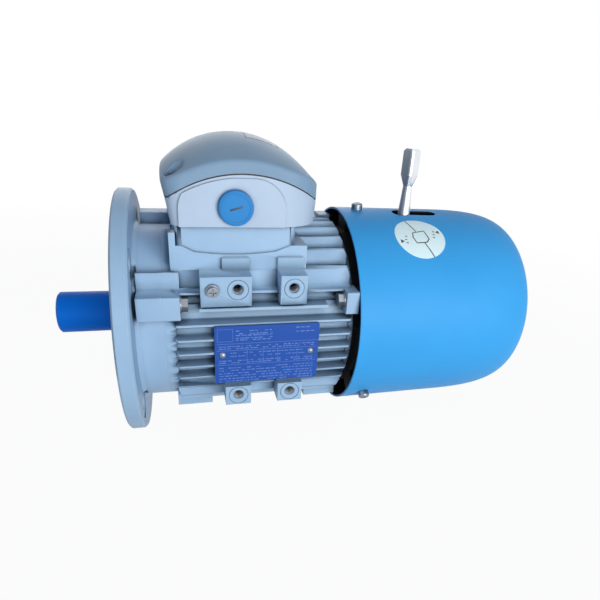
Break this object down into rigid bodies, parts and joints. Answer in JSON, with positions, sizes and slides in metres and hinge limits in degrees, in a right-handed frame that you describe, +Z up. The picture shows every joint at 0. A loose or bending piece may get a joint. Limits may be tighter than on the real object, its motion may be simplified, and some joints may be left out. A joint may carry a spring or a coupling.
{
  "type": "flange-mounted brake motor",
  "caption": "Finned three-phase motor with a front flange, domed terminal box, blue fan cowl and a spring-applied brake that a hand lever releases.",
  "frame": {"origin": "centre of the mounting flange's face, on the shaft axis", "axes": "-X along the output shaft, out of the flange; +X towards the fan cowl; +Z up towards the terminal box; the name plate faces -Y"},
  "size_m": [0.3957, 0.2, 0.2453],
  "materials": {
    "casting_paint": "die-cast aluminium, painted light blue-grey, satin",
    "inner_iron": "machined and black painted iron",
    "cowl_paint": "sheet steel, painted azure blue, satin",
    "plate_metal": "thin plate, dark blue print, bare of words",
    "bright_steel": "turned or ground steel",
    "zinc_steel": "zinc-plated steel",
    "core_steel": "stacked sheet steel",
    "spring_steel": "oiled spring steel",
    "copper": "varnished copper wire",
    "brass": "plain brass",
    "cage_metal": "cast aluminium, bare",
    "blue_plastic": "moulded plastic, deep blue",
    "entry_plastic": "moulded plastic, light blue",
    "black_plastic": "moulded plastic, black",
    "resin": "cast resin",
    "friction_lining": "bonded friction lining",
    "seal_rubber": "nitrile rubber"
  },
  "bodies": {
    "stator": {"drive_end_shield": "casting_paint", "motor_housing": "casting_paint", "rear_shield": "inner_iron", "front_shield_screws": "zinc_steel", "rear_shield_screws": "zinc_steel", "stator_core": "core_steel", "stator_windings": "copper", "front_bearing_outer": "bright_steel", "rear_bearing_outer": "bright_steel", "bearing_shields": "bright_steel", "shaft_seal": "seal_rubber", "preload_washer": "spring_steel", "bearing_circlip": "spring_steel", "magnet_body": "bright_steel", "brake_coil": "resin", "brake_springs": "spring_steel", "brake_bolts": "zinc_steel", "spacer_sleeves": "zinc_steel", "fan_cowl": "cowl_paint", "cowl_grille": "cowl_paint", "cowl_screws": "zinc_steel", "terminal_box_base": "casting_paint", "lid_gasket": "seal_rubber", "terminal_box_lid": "casting_paint", "lid_screws": "zinc_steel", "box_screws": "zinc_steel", "cable_plug_near": "entry_plastic", "cable_plug_far": "entry_plastic", "terminal_block": "black_plastic", "terminal_studs": "brass", "terminal_links": "brass", "rectifier": "resin", "name_plate": "plate_metal", "plate_rivets": "zinc_steel", "earth_screw": "zinc_steel"},
    "rotor": {"rotor_core": "core_steel", "rotor_cage": "cage_metal", "motor_shaft": "bright_steel", "shaft_key": "bright_steel", "front_bearing_inner": "bright_steel", "front_bearing_balls": "bright_steel", "rear_bearing_inner": "bright_steel", "rear_bearing_balls": "bright_steel", "brake_hub": "bright_steel", "hub_key": "bright_steel", "friction_disc": "bright_steel", "friction_linings": "friction_lining", "cooling_fan": "black_plastic", "fan_circlip": "spring_steel"},
    "armature": {"armature_plate": "bright_steel", "release_studs": "zinc_steel"},
    "release_lever": {"release_yoke": "zinc_steel", "release_lever": "zinc_steel"},
    "shaft_sleeve": {"shaft_sleeve": "blue_plastic"}
  },
  "joints": [
    {"name": "rotor_spin", "type": "hinge", "parent": "stator", "child": "rotor", "pos_m": [0, 0, 0], "axis": [1, 0, 0], "continuous": true},
    {"name": "lever_tilt", "type": "hinge", "parent": "stator", "child": "release_lever", "pos_m": [0.23817, 0, 0], "axis": [0, 1, 0], "range_deg": [0, 12], "stiffness_Nm_per_rad": 4, "springref_deg": -1.72},
    {"name": "armature_lift", "type": "slide", "parent": "stator", "child": "armature", "axis": [1, 0, 0], "range_m": [0, 0.00035]},
    {"name": "sleeve_pull", "type": "slide", "parent": "rotor", "child": "shaft_sleeve", "axis": [-1, 0, 0], "range_m": [0, 0.056]}
  ],
  "couplings": [
    {"joint": "armature_lift", "follows": "lever_tilt", "m_per_rad": 0.00167}
  ]
}
